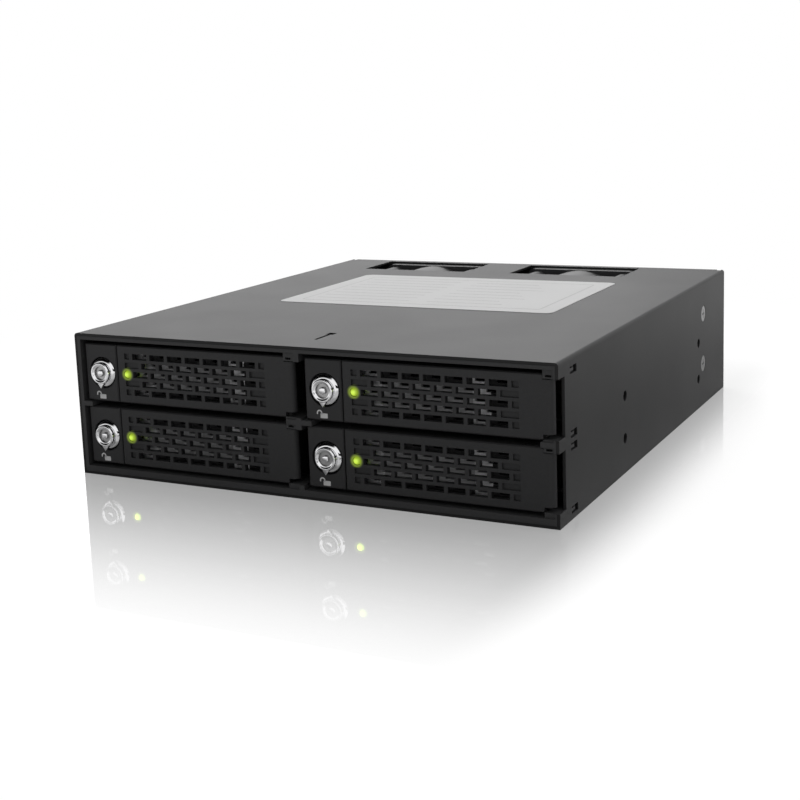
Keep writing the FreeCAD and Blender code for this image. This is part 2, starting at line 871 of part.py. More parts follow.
def make_side_screws():
    """Flat headed screws that hold the cover to the pan's ears."""
    screws = []
    for end in (-1, 1):
        outer = end * (side_x - side_screw_sunk)
        seat = end * inner_x
        tip = end * (inner_x - side_screw_length)
        for z in (side_screw_low_z, side_screw_high_z):
            head = rod_x(min(outer, seat), max(outer, seat), side_screw_y, z, side_screw_radius)
            shank = rod_x(min(seat, tip), max(seat, tip), side_screw_y, z, screw_shank_radius)
            screws.append(join([head, shank]))
    return screws


def make_sled(bay):
    """Plate under the drive, with runners, drive screw holes and weight saving windows."""
    z0 = bay.bottom + sled_height
    z1 = z0 + sheet
    back = drive_back - sled_back_gap
    plate = box(bay.sled_x - sled_width / 2, bay.sled_x + sled_width / 2, bezel_back, back, z0, z1)
    tongue = box(bay.left + lock_section + running_gap, bay.bezel_right - bezel_wall - running_gap,
                 face_y + tongue_start, bezel_back, z0, z1)
    pieces = [plate, tongue]
    for side in (-1, 1):
        x = bay.sled_x + side * runner_spacing / 2
        pieces.append(box(x - runner_width / 2, x + runner_width / 2, bezel_back + runner_start, back,
                          bay.bottom - runner_drop, z0))
    tools = [rod_z(z0 - 1, z1 + 1, x, y, screw_clearance_radius) for x, y in drive_holes(bay)]
    for index in range(3):
        y = bezel_back + sled_window_start + index * sled_window_pitch
        tools.append(box(bay.sled_x - sled_window_width / 2, bay.sled_x + sled_window_width / 2,
                         y, y + sled_window_length, z0 - 1, z1 + 1))
    screw_y = face_y + bezel_screw_y
    tools += [rod_z(z0 - 1, z1 + 1, x, screw_y, bezel_screw_radius) for x in bezel_screw_xs(bay)]
    return cut(join(pieces), tools)


def drive_holes(bay):
    back_y = drive_back - drive_hole_from_end
    return [
        (bay.sled_x + side * drive_hole_x / 2, y)
        for side in (-1, 1) for y in (back_y - drive_hole_y, back_y)
    ]


def bezel_screw_xs(bay):
    return [bay.left + share * face_width for share in bezel_screw_shares]


def ear_heights(bay):
    """The two ears of the hinge, as (low, high)."""
    low = bay.bottom + notch_height + running_gap / 2
    high = bay.top - notch_height - running_gap / 2
    return [(low, low + ear_thickness), (high - ear_thickness, high)]


def make_bezel(bay):
    """Moulded tray front: lock block, pierced inner plate, walls and the hinge ears."""
    section_right = bay.left + lock_section
    right = bay.bezel_right
    block = box(bay.left, section_right, face_y, bezel_back, bay.bottom, bay.top)
    front_edges = [edge for edge in block.Edges if abs(edge.CenterOfMass.y - face_y) < 0.01]
    block = block.makeChamfer(edge_chamfer, front_edges)
    low_z = bay.bottom + sled_height - bezel_wall
    high_z = bay.top - bezel_top_gap
    bottom_wall = box(section_right - 1, right, plate_y, bezel_back, low_z, low_z + bezel_wall)
    top_wall = box(section_right - 1, right, plate_y, bezel_back, high_z - bezel_wall, high_z)
    right_wall = box(right - bezel_wall, right, plate_y, bezel_back, low_z, high_z)
    plate = box(section_right - 1, right, plate_y, plate_back, low_z, high_z)
    ears = []
    for z0, z1 in ear_heights(bay):
        ears.append(rod_z(z0, z1, bay.hinge_x, hinge_y, ear_radius))
        ears.append(box(bay.hinge_x - ear_radius, bay.hinge_x, hinge_y, plate_y, z0, z1))
        ears.append(box(bay.hinge_x - ear_arm_width, bay.hinge_x, hinge_y + barrel_radius, plate_y + 0.5,
                        z0, z1))
    bezel = join([block, bottom_wall, top_wall, plate, right_wall] + ears)
    pin_hole = rod_z(bay.bottom, bay.top, bay.hinge_x, hinge_y, hinge_pin_radius)
    return cut(bezel, [pin_hole] + lock_tools(bay) + bezel_openings(bay, low_z))


def lock_tools(bay):
    """Bore for the lock, the pocket for its cam and the channel for the latch."""
    seat = face_y + lock_travel + lock_flange
    pocket_y = face_y + cam_pocket_start
    latch_y = face_y + latch_front
    channel_left = bay.left + latch_left - latch_room
    leg_right = latch_left + latch_leg_width + bolt_travel
    z0, z1 = bay.bottom + latch_low - latch_fit, bay.bottom + latch_high + latch_fit
    return [
        rod_y(face_y - 1, seat, bay.lock_x, bay.middle_z, lock_flange_radius + flange_fit),
        rod_y(face_y - 1, pocket_y + 1, bay.lock_x, bay.middle_z, lock_body_radius + lock_fit),
        box(bay.left + cam_pocket_wall, bay.left + lock_section - cam_pocket_wall, pocket_y, bezel_back + 1,
            bay.bottom + cam_pocket_floor, bay.top - cam_pocket_floor),
        box(channel_left, bay.left + lock_section + 1, latch_y - latch_fit,
            latch_y + latch_thickness + latch_fit, z0, z1),
        box(channel_left, bay.left + leg_right, latch_y + latch_thickness, pocket_y + 1, z0, z1),
    ]


def bezel_openings(bay, low_z):
    """Air slots of the inner plate, and its windows for the lens, the catch and the screws."""
    tools = []
    for row in range(slot_rows):
        z = bay.middle_z + (row - (slot_rows - 1) / 2) * slot_row_pitch
        left = slot_first + inner_slot_shift - (slot_pitch / 2 if row % 2 else 0)
        while left + inner_slot_length < mesh_right:
            beside_catch = row == slot_rows - 1 and left < catch_x + catch_width + inner_slot_clear
            if left > lens_x + inner_slot_clear and not beside_catch:
                tools.append(box(bay.left + left, bay.left + left + inner_slot_length,
                                 plate_y - 1, plate_back + 1,
                                 z - inner_slot_height / 2, z + inner_slot_height / 2))
            left += slot_pitch
    x = bay.left + lens_x
    hole = lens_radius + running_gap
    tools.append(box(x - hole, x + hole, plate_y - 1, plate_back + 1,
                     bay.middle_z - hole, bay.middle_z + hole))
    pipe_half = pipe_half_width + running_gap
    tools.append(box(x - pipe_half, x + pipe_half, plate_back + 1, bezel_back + 1,
                     low_z - 1, low_z + bezel_wall))
    tools.append(box(bay.left + lock_section, bay.left + catch_x + catch_width + catch_window_gap,
                     plate_y - 1, plate_back + 1,
                     bay.bottom + latch_low - catch_window_gap, bay.bottom + latch_high + catch_window_gap))
    screw_y = face_y + bezel_screw_y
    for screw_x in bezel_screw_xs(bay):
        tools.append(rod_z(low_z - 1, low_z + bezel_wall + 1, screw_x, screw_y, bezel_screw_radius))
        tools.append(rod_z(low_z - 1, low_z + bezel_screw_head, screw_x, screw_y, bezel_screw_head_radius))
    return tools


def slot_places():
    """Every slot of the door as (left, right, height above the face's bottom, goes through)."""
    places = []
    for row in range(slot_rows):
        z = face_height / 2 + (row - (slot_rows - 1) / 2) * slot_row_pitch
        left = slot_first - slot_pitch
        if row % 2 == 1:
            left -= slot_pitch / 2
        while left < mesh_right:
            right = left + slot_length
            if right > mesh_left + slot_stub and left < mesh_right - slot_stub:
                inside = left > mesh_left + 1 and right < mesh_right - 1
                places.append((max(left, mesh_left), min(right, mesh_right), z, inside))
            left += slot_pitch
    return places


def make_door(bay):
    """Pierced door with a turned-in edge, a hinge barrel and a catch."""
    left = bay.left + lock_section + seam
    back = face_y + door_thickness
    plate = box(left, bay.right, face_y, back, bay.bottom, bay.top)
    end_edge = [
        edge for edge in plate.Edges
        if abs(edge.CenterOfMass.x - bay.right) < 0.01 and abs(edge.CenterOfMass.y - face_y) < 0.01
    ]
    plate = plate.makeFillet(door_end_radius, end_edge)
    other_edges = [
        edge for edge in plate.Edges
        if abs(edge.CenterOfMass.y - face_y) < 0.01 and edge.CenterOfMass.x < bay.hinge_x
    ]
    plate = plate.makeChamfer(edge_chamfer, other_edges)
    return_back = face_y + door_return
    return_end = bay.hinge_x - return_to_hinge
    wall = door_return_wall
    ears = ear_heights(bay)
    barrel_z = (ears[0][1] + ear_clearance, ears[1][0] - ear_clearance)
    catch_left = bay.left + catch_x
    z0, z1 = bay.bottom + latch_low, bay.bottom + latch_high
    catch_back = face_y + catch_end
    pieces = [
        plate,
        box(left, return_end, back, return_back, bay.bottom, bay.bottom + wall),
        box(left, return_end, back, return_back, bay.top - wall, bay.top),
        box(left, left + wall, back, return_back, bay.bottom, bay.top),
        rod_z(barrel_z[0], barrel_z[1], bay.hinge_x, hinge_y, barrel_radius),
        box(catch_left, catch_left + catch_width, back, catch_back, z0, z1),
        box(catch_left - catch_nose, catch_left, catch_back - catch_nose_length, catch_back, z0, z1),
    ]
    tools = [rod_z(barrel_z[0] - 1, barrel_z[1] + 1, bay.hinge_x, hinge_y, hinge_pin_radius + hinge_fit)]
    for low, high in ears:
        tools.append(rod_z(low - ear_clearance, high + ear_clearance, bay.hinge_x, hinge_y,
                           ear_radius + ear_clearance))
    notch_x = bay.right - notch_width
    tools.append(box(notch_x, bay.right + 1, face_y - 1, back + 1, bay.bottom - 1, bay.bottom + notch_height))
    tools.append(box(notch_x, bay.right + 1, face_y - 1, back + 1, bay.top - notch_height, bay.top + 1))
    tools.append(rod_y(face_y - 1, back + 1, bay.left + lens_x, bay.middle_z, lens_radius + lens_gap))
    for x0, x1, z, through in slot_places():
        near_lens = abs(z - face_height / 2) < 0.01 and x0 < lens_x + lens_radius
        if near_lens:
            continue
        depth = back + 1 if through else face_y + blind_depth
        tools.append(box(bay.left + x0, bay.left + x1, face_y - 1, depth,
                         bay.bottom + z - slot_height / 2, bay.bottom + z + slot_height / 2))
    return cut(join(pieces), tools)


def make_hinge_pin(bay):
    ears = ear_heights(bay)
    return rod_z(ears[0][0], ears[1][1], bay.hinge_x, hinge_y, hinge_pin_radius)


def make_lock_barrel(bay):
    front = face_y - lock_proud
    x, z = bay.lock_x, bay.middle_z
    flange = rod_y(front, front + lock_flange, x, z, lock_flange_radius)
    rim = [edge for edge in flange.Edges if abs(edge.CenterOfMass.y - front) < 0.01]
    flange = flange.makeChamfer(edge_chamfer, rim[:1])
    body = rod_y(front + lock_flange, front + lock_length, x, z, lock_body_radius)
    bore = rod_y(front - 1, front + lock_length + 1, x, z, plug_radius + lock_fit / 2)
    return join([flange, body]).cut(bore)


def make_lock_plug(bay):
    """Turning plug: a pointed head with a ring keyway, a shaft and a cam behind."""
    x, z = bay.lock_x, bay.middle_z
    head_back = face_y - lock_proud - lock_fit
    head_front = head_back - plug_head
    shaft_back = face_y - lock_proud + lock_length + running_gap
    head = rod_y(head_front, head_back, x, z, plug_head_radius)
    touch = math.acos(plug_head_radius / pointer_reach)
    side_x_offset = plug_head_radius * math.sin(touch)
    side_z_offset = -plug_head_radius * math.cos(touch)
    pointer_y = head_front + pointer_step
    pointer = prism([
        Vector(x - side_x_offset, pointer_y, z + side_z_offset),
        Vector(x + side_x_offset, pointer_y, z + side_z_offset),
        Vector(x, pointer_y, z - pointer_reach),
    ], Vector(0, plug_head - pointer_step, 0))
    shaft = rod_y(head_back - lock_fit, shaft_back, x, z, plug_radius)
    cam = box(x - cam_width / 2, x + cam_width / 2, shaft_back, shaft_back + cam_thickness,
              z - cam_drop, z + cam_reach)
    keyway = rod_y(head_front - 1, head_front + key_depth, x, z, key_ring_outer)
    post = rod_y(head_front - 2, head_front + key_depth + 1, x, z, key_post_radius)
    solid = join([head, pointer, shaft, cam])
    return solid.cut(keyway.cut(post)).removeSplitter()


def make_latch(bay):
    """Sliding bolt in the lock block, which frees the door when the lock is pushed in."""
    z0, z1 = bay.bottom + latch_low, bay.bottom + latch_high
    x0 = bay.left + latch_left
    y0 = face_y + latch_front
    y1 = y0 + latch_thickness
    bolt = box(x0, bay.left + latch_tip, y0, y1, z0, z1)
    leg = box(x0, x0 + latch_leg_width, y1, face_y + latch_leg_back, z0, z1)
    return join([bolt, leg])


def make_light_pipe(bay):
    """Clear rod that brings light from the board to the lens behind the door."""
    x = bay.left + lens_x
    x0, x1 = x - pipe_half_width, x + pipe_half_width
    z0 = bay.bottom + running_gap
    riser_y = face_y + lens_back - pipe_thickness / 2
    lens = rod_y(face_y + lens_front, face_y + lens_back, x, bay.middle_z, lens_radius)
    riser = box(x0, x1, riser_y, riser_y + pipe_thickness, z0, bay.middle_z + lens_radius)
    strip = box(x0, x1, riser_y, drive_back - sled_back_gap, z0, z0 + pipe_thickness)
    return join([lens, riser, strip])


def make_bezel_screws(bay):
    low_z = bay.bottom + sled_height - bezel_wall
    y = face_y + bezel_screw_y
    screws = []
    for x in bezel_screw_xs(bay):
        head = rod_z(low_z, low_z + bezel_screw_head, x, y, bezel_screw_head_radius)
        shank = rod_z(low_z + bezel_screw_head, bay.bottom + sled_height + sheet, x, y, bezel_screw_radius)
        screws.append(join([head, shank]))
    return screws


os.makedirs("parts", exist_ok=True)
save("top_cover", [make_top_cover()])
save("bottom_pan", [make_bottom_pan()])
save("front_frame", [make_front_frame()])
save("centre_divider", [make_centre_divider()])
save("shelf_left", [make_shelf(-1)])
save("shelf_right", [make_shelf(1)])
save("tray_guides", make_tray_guides())
save("backplane_board", [make_board()])
save("drive_sockets", make_drive_sockets())
save("sata_ports", make_sata_ports())
save("power_ports", make_power_ports())
save("fan_headers", make_fan_headers())
save("board_screws", make_board_screws())
save("rear_panel", [make_rear_panel()])
save("fan_frame_left", [make_fan_frame(fan_left_x)])
save("fan_frame_right", [make_fan_frame(fan_right_x)])
save("fan_rotor_left", [make_fan_rotor(fan_left_x)])
save("fan_rotor_right", [make_fan_rotor(fan_right_x)])
save("fan_screws", make_fan_screws())
save("side_screws", make_side_screws())
for bay in bays:
    save("tray_" + bay.name, [make_sled(bay)])
    save("bezel_" + bay.name, [make_bezel(bay)])
    save("door_" + bay.name, [make_door(bay)])
    save("hinge_pin_" + bay.name, [make_hinge_pin(bay)])
    save("lock_barrel_" + bay.name, [make_lock_barrel(bay)])
    save("lock_plug_" + bay.name, [make_lock_plug(bay)])
    save("latch_" + bay.name, [make_latch(bay)])
    save("light_pipe_" + bay.name, [make_light_pipe(bay)])
    save("bezel_screws_" + bay.name, make_bezel_screws(bay))
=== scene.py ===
import math

import bmesh
import bpy
from mathutils import Euler, Matrix, Vector


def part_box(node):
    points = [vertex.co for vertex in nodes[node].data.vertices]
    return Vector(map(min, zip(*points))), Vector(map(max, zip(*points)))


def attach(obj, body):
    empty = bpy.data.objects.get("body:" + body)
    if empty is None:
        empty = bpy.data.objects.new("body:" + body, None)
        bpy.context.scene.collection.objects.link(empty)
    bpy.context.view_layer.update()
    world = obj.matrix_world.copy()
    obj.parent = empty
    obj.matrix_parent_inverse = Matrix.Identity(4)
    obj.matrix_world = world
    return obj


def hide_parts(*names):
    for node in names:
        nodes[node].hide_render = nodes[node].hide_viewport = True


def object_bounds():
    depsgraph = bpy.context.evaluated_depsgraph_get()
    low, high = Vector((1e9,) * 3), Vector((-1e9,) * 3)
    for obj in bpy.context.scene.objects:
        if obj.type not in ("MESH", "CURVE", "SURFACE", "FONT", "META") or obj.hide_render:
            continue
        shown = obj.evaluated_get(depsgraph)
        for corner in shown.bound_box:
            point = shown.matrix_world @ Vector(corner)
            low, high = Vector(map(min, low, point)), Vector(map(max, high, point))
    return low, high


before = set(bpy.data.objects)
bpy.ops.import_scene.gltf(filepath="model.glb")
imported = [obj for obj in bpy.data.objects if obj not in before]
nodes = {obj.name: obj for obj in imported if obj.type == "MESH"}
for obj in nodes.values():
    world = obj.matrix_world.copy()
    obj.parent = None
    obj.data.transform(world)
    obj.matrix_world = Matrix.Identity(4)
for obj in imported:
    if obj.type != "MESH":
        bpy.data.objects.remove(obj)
cadLow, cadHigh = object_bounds()
mm = 0.001
bays = ("upper_left", "upper_right", "lower_left", "lower_right")
print("frame loaded with", len(nodes), "nodes")


# Small helpers for working by hand

def clearSelection():
    if bpy.context.object and bpy.context.object.mode != "OBJECT":
        bpy.ops.object.mode_set(mode="OBJECT")
    bpy.ops.object.select_all(action="DESELECT")


def namePiece(name):
    piece = bpy.context.object
    piece.name = name
    piece.data.name = name
    return piece


def pickOnly(piece):
    clearSelection()
    piece.select_set(True)
    bpy.context.view_layer.objects.active = piece


def editChosen(piece, kind, wanted):
    # goes into edit mode with only the wanted faces or edges selected
    pickOnly(piece)
    bpy.ops.object.mode_set(mode="EDIT")
    bpy.ops.mesh.select_mode(type=kind)
    bpy.ops.mesh.select_all(action="DESELECT")
    mesh = bmesh.from_edit_mesh(piece.data)
    for item in mesh.faces if kind == "FACE" else mesh.edges:
        if wanted(item):
            item.select_set(True)
    bmesh.update_edit_mesh(piece.data)


def objectMode():
    bpy.ops.object.mode_set(mode="OBJECT")


def applyPlace(piece):
    pickOnly(piece)
    bpy.ops.object.transform_apply(location=True, rotation=True, scale=True)


def smoothEdges(piece, degrees):
    pickOnly(piece)
    bpy.ops.object.shade_smooth_by_angle(angle=math.radians(degrees))


def joinPieces(parts, name):
    clearSelection()
    for part in parts:
        part.select_set(True)
    bpy.context.view_layer.objects.active = parts[0]
    bpy.ops.object.join()
    return namePiece(name)


def plainBox(name, low, high):
    clearSelection()
    middle = [(a + b) / 2 for a, b in zip(low, high)]
    bpy.ops.mesh.primitive_cube_add(size=1, location=middle)
    piece = namePiece(name)
    piece.scale = [b - a for a, b in zip(low, high)]
    applyPlace(piece)
    return piece


def dress(piece, finish):
    piece.data.materials.clear()
    piece.data.materials.append(finish)


def middleOf(name, axis):
    low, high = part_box(name)
    return (low[axis] + high[axis]) / 2


# Small helpers for shader nodes

def addNode(tree, kind, **settings):
    node = tree.nodes.new(kind)
    for key, value in settings.items():
        setattr(node, key, value)
    return node


def feed(tree, node, inputs):
    # each value is a socket to link, or a plain number or color
    for key, value in inputs.items():
        if isinstance(value, bpy.types.NodeSocket):
            tree.links.new(value, node.inputs[key])
        else:
            node.inputs[key].default_value = value
    return node


def mathNode(tree, operation, *operands):
    node = addNode(tree, "ShaderNodeMath", operation=operation)
    return feed(tree, node, dict(enumerate(operands))).outputs[0]


def vectorNode(tree, operation, *operands, output=0):
    node = addNode(tree, "ShaderNodeVectorMath", operation=operation)
    return feed(tree, node, dict(enumerate(operands))).outputs[output]


def rampNode(tree, value, start, end, first=0, last=1, smooth=False):
    node = addNode(tree, "ShaderNodeMapRange",
                   interpolation_type="SMOOTHSTEP" if smooth else "LINEAR")
    return feed(tree, node, {"Value": value, "From Min": start, "From Max": end,
                             "To Min": first, "To Max": last}).outputs["Result"]


def mixColors(tree, share, first, second):
    node = addNode(tree, "ShaderNodeMix", data_type="RGBA")
    return feed(tree, node, {"Factor": share, "A": first, "B": second}).outputs["Result"]


def mixShaders(tree, share, first, second):
    node = addNode(tree, "ShaderNodeMixShader")
    return feed(tree, node, {0: share, 1: first, 2: second}).outputs[0]


def placeSocket(tree, kind="Object"):
    return addNode(tree, "ShaderNodeTexCoord").outputs[kind]


def splitPlace(tree, kind="Object"):
    # the three parts of the place, or of the face's direction, as sockets
    node = addNode(tree, "ShaderNodeSeparateXYZ")
    return feed(tree, node, {0: placeSocket(tree, kind)}).outputs


def noiseNode(tree, scale, detail=2):
    node = addNode(tree, "ShaderNodeTexNoise")
    return feed(tree, node, {"Vector": placeSocket(tree), "Scale": scale,
                             "Detail": detail}).outputs["Fac"]


def foldedDistance(tree, value, middles):
    # distance from the nearer of two places along one axis
    folded = mathNode(tree, "ABSOLUTE", mathNode(tree, "SUBTRACT", value, sum(middles) / 2))
    half = abs(middles[1] - middles[0]) / 2
    return mathNode(tree, "ABSOLUTE", mathNode(tree, "SUBTRACT", folded, half))


def placeInBay(tree, value, starts, limit):
    # distance from the start of the bay in which the point lies
    passed = mathNode(tree, "GREATER_THAN", value, limit)
    shift = mathNode(tree, "MULTIPLY", passed, starts[1] - starts[0])
    return mathNode(tree, "SUBTRACT", mathNode(tree, "SUBTRACT", value, starts[0]), shift)


def between(tree, value, low, high):
    return mathNode(tree, "MULTIPLY", mathNode(tree, "GREATER_THAN", value, low),
                    mathNode(tree, "LESS_THAN", value, high))


# Finishes

def startFinish(name, look):
    material = bpy.data.materials.new(name)
    material.use_nodes = True
    material.diffuse_color = (*look["color"], 1)
    tree = material.node_tree
    shader = feed(tree, tree.nodes["Principled BSDF"], {
        "Base Color": (*look["color"], 1),
        "Roughness": look["roughness"],
        "Metallic": look.get("metallic", 0),
        "Specular IOR Level": look.get("specular", 0.5),
        "Coat Weight": look.get("coat", 0),
        "Coat Roughness": look.get("coatRoughness", 0.1),
        "Transmission Weight": look.get("transmission", 0)})
    return material, tree, shader


def openFinish(material):
    return material.node_tree, material.node_tree.nodes["Principled BSDF"]


def presentColor(shader):
    return shader.inputs["Base Color"].links[0].from_socket


def softEdge(tree, radius):
    node = addNode(tree, "ShaderNodeBevel", samples=4)
    return feed(tree, node, {"Radius": radius * mm}).outputs["Normal"]


def speckledColor(tree, color, spread, scale):
    # mixes two near shades over the surface
    shades = [(*[c * level for c in color], 1) for level in (1 - spread, 1 + spread)]
    return mixColors(tree, noiseNode(tree, scale, 3), *shades)


def grainedFinish(name, look):
    # fine grain, a slow change of tone, and softly rounded edges
    material, tree, shader = startFinish(name, look)
    bump = feed(tree, addNode(tree, "ShaderNodeBump"), {
        "Strength": look["grainStrength"], "Distance": surfaceLook["grainDepth"] * mm,
        "Height": noiseNode(tree, look["grainScale"]),
        "Normal": softEdge(tree, look.get("edge", surfaceLook["edge"]))})
    tone = rampNode(tree, noiseNode(tree, surfaceLook["cloudScale"]), 0, 1,
                    look["roughness"] - surfaceLook["cloudSpread"],
                    look["roughness"] + surfaceLook["cloudSpread"])
    feed(tree, shader, {"Normal": bump.outputs["Normal"], "Roughness": tone})
    if "speckle" in look:
        feed(tree, shader, {"Base Color": speckledColor(tree, look["color"], *look["speckle"])})
    return material


def metalFinish(name, look):
    # polish marks in the roughness, with softly rounded edges
    material, tree, shader = startFinish(name, {**look, "metallic": 1})
    tone = rampNode(tree, noiseNode(tree, look["markScale"], 4), 0, 1,
                    *[look["roughness"] * level for level in surfaceLook["polish"]])
    feed(tree, shader, {"Roughness": tone, "Normal": softEdge(tree, look["edge"])})
    return material


# edge is the radius of the softened edges in mm; speckle is a spread and a scale
surfaceLook = {"edge": 0.15, "grainDepth": 0.05, "cloudScale": 40, "cloudSpread": 0.03,
               "polish": (0.7, 1.4)}
trayLook = {"color": (0.031, 0.031, 0.032), "roughness": 0.48, "specular": 0.25,
            "grainScale": 3800, "grainStrength": 0.2, "edge": 0.18, "speckle": (0.18, 3000)}
grainedLooks = {
    "housingPaint": {"color": (0.034, 0.034, 0.035), "roughness": 0.46, "specular": 0.22,
                     "grainScale": 2600, "grainStrength": 0.35, "edge": 0.35,
                     "speckle": (0.25, 1800)},
    "frameMoulding": {"color": (0.043, 0.043, 0.044), "roughness": 0.5, "specular": 0.25,
                      "grainScale": 3400, "grainStrength": 0.22, "edge": 0.2,
                      "speckle": (0.18, 2600)},
    "trayMoulding": trayLook,
    "bezelMoulding": trayLook,
    "doorPaint": {"color": (0.031, 0.031, 0.032), "roughness": 0.46, "specular": 0.25,
                  "grainScale": 3600, "grainStrength": 0.25, "edge": 0.14,
                  "speckle": (0.2, 2800)},
    "guideMoulding": {"color": (0.05, 0.05, 0.05), "roughness": 0.45, "grainScale": 1500,
                      "grainStrength": 0.1},
    "fanMoulding": {"color": (0.03, 0.03, 0.031), "roughness": 0.42, "specular": 0.4,
                    "grainScale": 1600, "grainStrength": 0.12, "edge": 0.2},
    "bladeMoulding": {"color": (0.038, 0.038, 0.04), "roughness": 0.32, "specular": 0.45,
                      "grainScale": 900, "grainStrength": 0.05, "edge": 0.12},
    "connectorMoulding": {"color": (0.02, 0.02, 0.021), "roughness": 0.4, "grainScale": 2200,
                          "grainStrength": 0.1},
    "latchMoulding": {"color": (0.05, 0.05, 0.052), "roughness": 0.4, "grainScale": 2000,
                      "grainStrength": 0.1},
    "labelFilm": {"color": (0.6, 0.6, 0.6), "roughness": 0.42, "specular": 0.35,
                  "grainScale": 1400, "grainStrength": 0.05, "edge": 0.02,
                  "speckle": (0.03, 900)},
}
metalLooks = {
    "lockChrome": {"color": (0.82, 0.82, 0.83), "roughness": 0.09, "markScale": 600, "edge": 0.12},
    "brightSteel": {"color": (0.34, 0.34, 0.34), "roughness": 0.4, "markScale": 900, "edge": 0.08},
    "keyShadow": {"color": (0.4, 0.4, 0.4), "roughness": 0.3, "markScale": 900, "edge": 0.05},
    "sideSteel": {"color": (0.3, 0.3, 0.3), "roughness": 0.38, "markScale": 900, "edge": 0.35},
    "fanSteel": {"color": (0.3, 0.3, 0.3), "roughness": 0.38, "markScale": 900, "edge": 0.35},
}
plainLooks = {
    "ruleInk": {"color": (0.47, 0.47, 0.47), "roughness": 0.5},
    "markPrint": {"color": (0.62, 0.62, 0.62), "roughness": 0.5},
    "clearMoulding": {"color": (0.75, 0.85, 0.6), "roughness": 0.08, "transmission": 0.85},
}
mixed = {name: grainedFinish(name, look) for name, look in grainedLooks.items()}
mixed.update({name: metalFinish(name, look) for name, look in metalLooks.items()})
mixed.update({name: startFinish(name, look)[0] for name, look in plainLooks.items()})


def paintedTopLight(material, upright, level):
    # painted light: the level faces are painted paler than the upright ones, as in the photograph
    tree, shader = openFinish(material)
    share = rampNode(tree, splitPlace(tree, "Normal")["Z"], 0, 1, upright, level)
    paintedLightScale = addNode(tree, "ShaderNodeVectorMath", operation="SCALE")
    feed(tree, paintedLightScale, {0: presentColor(shader), "Scale": share})
    feed(tree, shader, {"Base Color": paintedLightScale.outputs[0]})


paintedTopLight(mixed["housingPaint"], upright=0.42, level=1.02)

rowMiddles = (middleOf("door_lower_left", 2), middleOf("door_upper_left", 2))
columnLefts = [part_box("bezel_" + name)[0].x for name in ("upper_left", "upper_right")]
# each patch of painted light is left, right, bottom and top in mm, from the bay's left and the
# row's middle, and a strength
plateLook = {"color": (0.8, 0.8, 0.81), "metallic": 0.6, "behindFace": 3.5, "depth": 1.4,
             "blend": 0.1, "columnSpare": 1,
             "patches": [(0, 20.8, -6.7, 6.7, 1), (46.4, 51.3, -6.7, 6.7, 1),
                         (20.8, 46.4, -4.7, 3.1, 0.6)]}


def paintedPlateLight(material, look):
    # painted light: parts of the pierced plate behind the doors are painted pale and partly
    # metallic, for the light that falls on it through the slots; it lies deeper than the block's
    # face
    tree, shader = openFinish(material)
    parts = splitPlace(tree)
    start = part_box("bezel_upper_left")[0].y + look["behindFace"] * mm
    end = start + look["depth"] * mm
    blend = look["blend"] * mm
    inPlate = mathNode(tree, "MULTIPLY", rampNode(tree, parts["Y"], start, start + blend),
                       rampNode(tree, parts["Y"], end, end + blend, 1, 0))
    across = placeInBay(tree, parts["X"], columnLefts, columnLefts[1] - look["columnSpare"] * mm)
    height = placeInBay(tree, parts["Z"], rowMiddles, sum(rowMiddles) / 2)
    litPatches = 0
    for left, right, bottom, top, strength in look["patches"]:
        patch = mathNode(tree, "MULTIPLY", between(tree, across, left * mm, right * mm),
                         between(tree, height, bottom * mm, top * mm))
        litPatches = mathNode(tree, "MAXIMUM", litPatches, mathNode(tree, "MULTIPLY", patch, strength))
    share = mathNode(tree, "MULTIPLY", inPlate, litPatches)
    color = mixColors(tree, share, presentColor(shader), (*look["color"], 1))
    feed(tree, shader, {"Base Color": color,
                        "Metallic": mathNode(tree, "MULTIPLY", share, look["metallic"])})


paintedPlateLight(mixed["bezelMoulding"], plateLook)

lensFromLeft = 14.45
lensPlaces = [left + lensFromLeft * mm for left in columnLefts]
haloLook = {"start": 0.9, "end": 2.1, "strength": 0.9, "color": (0.26, 0.36, 0.03),
            "frontFacing": -0.5}


def paintedLensHalo(material, look):
    # painted light: a soft glow of the lens, painted as emission on the door's face around it
    tree, shader = openFinish(material)
    parts = splitPlace(tree)
    offset = feed(tree, addNode(tree, "ShaderNodeCombineXYZ"), {
        "X": foldedDistance(tree, parts["X"], lensPlaces),
        "Z": foldedDistance(tree, parts["Z"], rowMiddles)})
    away = vectorNode(tree, "LENGTH", offset.outputs[0], output="Value")
    halo = rampNode(tree, away, look["start"] * mm, look["end"] * mm, look["strength"], 0, True)
    forward = mathNode(tree, "LESS_THAN", splitPlace(tree, "Normal")["Y"], look["frontFacing"])
    feed(tree, shader, {"Emission Color": (*look["color"], 1),
                        "Emission Strength": mathNode(tree, "MULTIPLY", halo, forward)})


paintedLensHalo(mixed["doorPaint"], haloLook)

recessLook = {"armHalf": 0.35, "reach": 1.45, "dark": 0.05, "sideHead": 2.6, "fanHead": 2.7}


def paintedRecessShade(material, color, axis, rows, columns, half=0):
    # painted shade: a dark cross painted in the middle of each screw head, for the shade in its
    # recess
    tree, shader = openFinish(material)
    parts = splitPlace(tree)
    up = foldedDistance(tree, parts["Z"], rows)
    aside = foldedDistance(tree, parts[axis], columns)
    if half:
        aside = mathNode(tree, "ABSOLUTE", mathNode(tree, "SUBTRACT", aside, half))
    inArm = mathNode(tree, "LESS_THAN", mathNode(tree, "MINIMUM", up, aside),
                     recessLook["armHalf"] * mm)
    inside = mathNode(tree, "LESS_THAN", mathNode(tree, "MAXIMUM", up, aside),
                      recessLook["reach"] * mm)
    cross = mathNode(tree, "MULTIPLY", inArm, inside)
    dark = (recessLook["dark"],) * 3 + (1,)
    feed(tree, shader, {"Base Color": mixColors(tree, cross, (*color, 1), dark)})


def headRows(name, radius):
    low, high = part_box(name)
    return low.z + radius * mm, high.z - radius * mm


